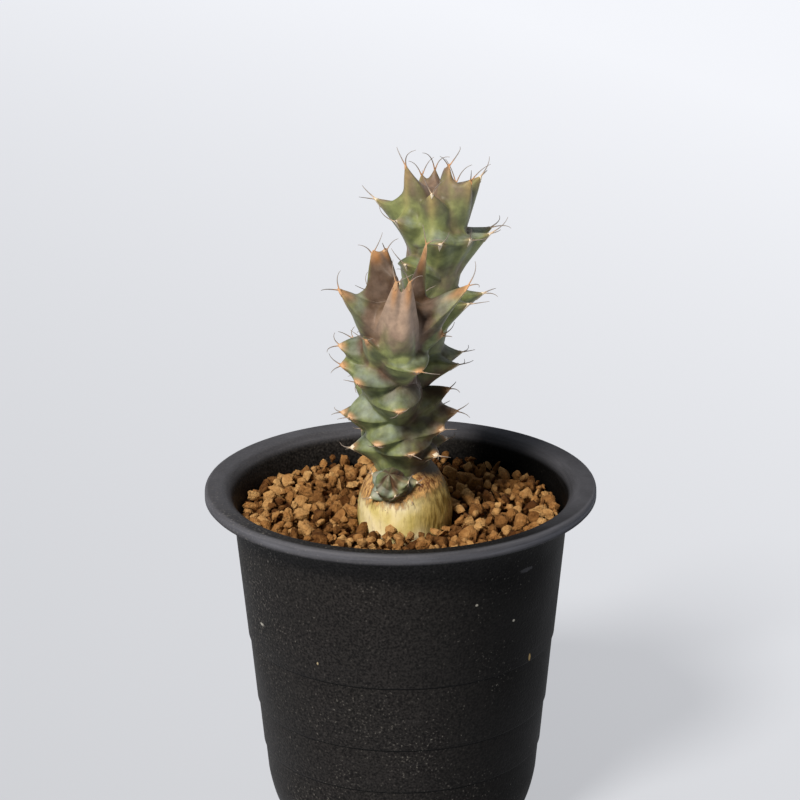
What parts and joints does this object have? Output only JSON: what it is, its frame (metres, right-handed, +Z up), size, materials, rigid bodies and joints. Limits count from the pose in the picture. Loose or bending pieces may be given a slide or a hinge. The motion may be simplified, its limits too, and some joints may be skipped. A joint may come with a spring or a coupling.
{
  "type": "potted euphorbia tortirama",
  "caption": "Caudex succulent with spiralled, toothed, spiny green stems in a round black plastic pot of granular soil.",
  "frame": {"origin": "centre of the pot's foot, on the surface that the pot stands on", "axes": "+Z up along the pot's axis, -Y towards the side that the picture shows, +X to its right"},
  "size_m": [0.09, 0.09, 0.1682],
  "materials": {
    "pot_plastic": "satin black polypropylene, lightly scuffed and dusty",
    "akadama": "dry, rough baked clay grains",
    "caudex_bark": "waxy yellow skin under thin flaking brown bark",
    "stem_skin": "matt green skin with a pale bloom, flushed purple-brown",
    "spines": "horny, tan at the shield, grey-brown at the point",
    "bud_skin": "matt wrinkled green skin"
  },
  "bodies": {
    "root": {"pot": "pot_plastic", "soil": "akadama", "caudex": "caudex_bark", "stem_front": "stem_skin", "stem_back": "stem_skin", "offset_bud": "bud_skin"}
  },
  "joints": []
}
